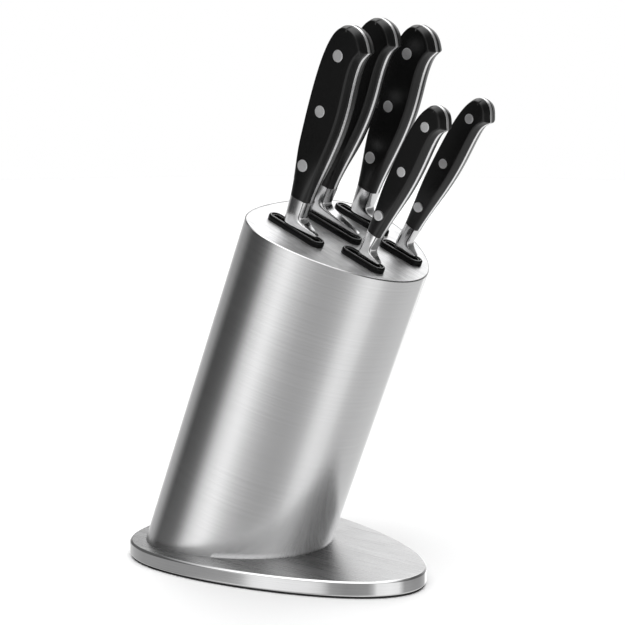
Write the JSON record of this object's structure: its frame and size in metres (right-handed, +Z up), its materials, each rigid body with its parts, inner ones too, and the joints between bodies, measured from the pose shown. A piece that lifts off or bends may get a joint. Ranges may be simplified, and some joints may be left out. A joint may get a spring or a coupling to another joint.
{
  "type": "knife block with knives",
  "caption": "Leaning egg-section steel tube on a flat steel base, closed by a slotted top plate that holds full-tang kitchen knives with riveted black handles.",
  "frame": {"origin": "middle of the base's length and width, on the underside of the non-slip pad", "axes": "+Z up; +X towards the narrow end of the base, the way the tube and knives lean; the blades lie in planes of constant Y with their edges towards +X"},
  "size_m": [0.2328, 0.139, 0.3436],
  "materials": {
    "brushed_steel": "fine brushing round the tube, along the slots on the top plate and along the base",
    "knife_steel": "satin bolsters and tangs, fine-ground blades",
    "rivet_steel": "flush, turned satin",
    "fixing_steel": "bright zinc",
    "handle_black": "satin black",
    "sleeve_black": "glossy black",
    "pad_rubber": "matt black"
  },
  "bodies": {
    "block": {"base_pad": "pad_rubber", "base_plate": "brushed_steel", "body_shell": "brushed_steel", "foot_flange": "fixing_steel", "base_screw_1": "fixing_steel", "base_screw_2": "fixing_steel", "base_screw_3": "fixing_steel", "base_screw_4": "fixing_steel", "base_nut_1": "fixing_steel", "base_nut_2": "fixing_steel", "base_nut_3": "fixing_steel", "base_nut_4": "fixing_steel", "top_plate": "brushed_steel", "carving_slot_sleeve": "sleeve_black", "chef_slot_sleeve": "sleeve_black", "bread_slot_sleeve": "sleeve_black", "paring_slot_sleeve": "sleeve_black", "utility_slot_sleeve": "sleeve_black"},
    "carving_knife": {"carving_knife_blade": "knife_steel", "carving_knife_scale_left": "handle_black", "carving_knife_scale_right": "handle_black", "carving_knife_rivet_1": "rivet_steel", "carving_knife_rivet_2": "rivet_steel", "carving_knife_rivet_3": "rivet_steel"},
    "chef_knife": {"chef_knife_blade": "knife_steel", "chef_knife_scale_left": "handle_black", "chef_knife_scale_right": "handle_black", "chef_knife_rivet_1": "rivet_steel", "chef_knife_rivet_2": "rivet_steel", "chef_knife_rivet_3": "rivet_steel"},
    "bread_knife": {"bread_knife_blade": "knife_steel", "bread_knife_scale_left": "handle_black", "bread_knife_scale_right": "handle_black", "bread_knife_rivet_1": "rivet_steel", "bread_knife_rivet_2": "rivet_steel", "bread_knife_rivet_3": "rivet_steel"},
    "paring_knife": {"paring_knife_blade": "knife_steel", "paring_knife_scale_left": "handle_black", "paring_knife_scale_right": "handle_black", "paring_knife_rivet_1": "rivet_steel", "paring_knife_rivet_2": "rivet_steel", "paring_knife_rivet_3": "rivet_steel"},
    "utility_knife": {"utility_knife_blade": "knife_steel", "utility_knife_scale_left": "handle_black", "utility_knife_scale_right": "handle_black", "utility_knife_rivet_1": "rivet_steel", "utility_knife_rivet_2": "rivet_steel", "utility_knife_rivet_3": "rivet_steel"}
  },
  "joints": [
    {"name": "carving_knife_lift", "type": "slide", "parent": "block", "child": "carving_knife", "axis": [0.3756, 0, 0.9268], "range_m": [0, 0.235]},
    {"name": "chef_knife_lift", "type": "slide", "parent": "block", "child": "chef_knife", "axis": [0.4141, 0, 0.9103], "range_m": [0, 0.235]},
    {"name": "bread_knife_lift", "type": "slide", "parent": "block", "child": "bread_knife", "axis": [0.3917, 0, 0.9201], "range_m": [0, 0.235]},
    {"name": "paring_knife_lift", "type": "slide", "parent": "block", "child": "paring_knife", "axis": [0.5204, 0, 0.8539], "range_m": [0, 0.125]},
    {"name": "utility_knife_lift", "type": "slide", "parent": "block", "child": "utility_knife", "axis": [0.5484, 0, 0.8362], "range_m": [0, 0.16]}
  ]
}
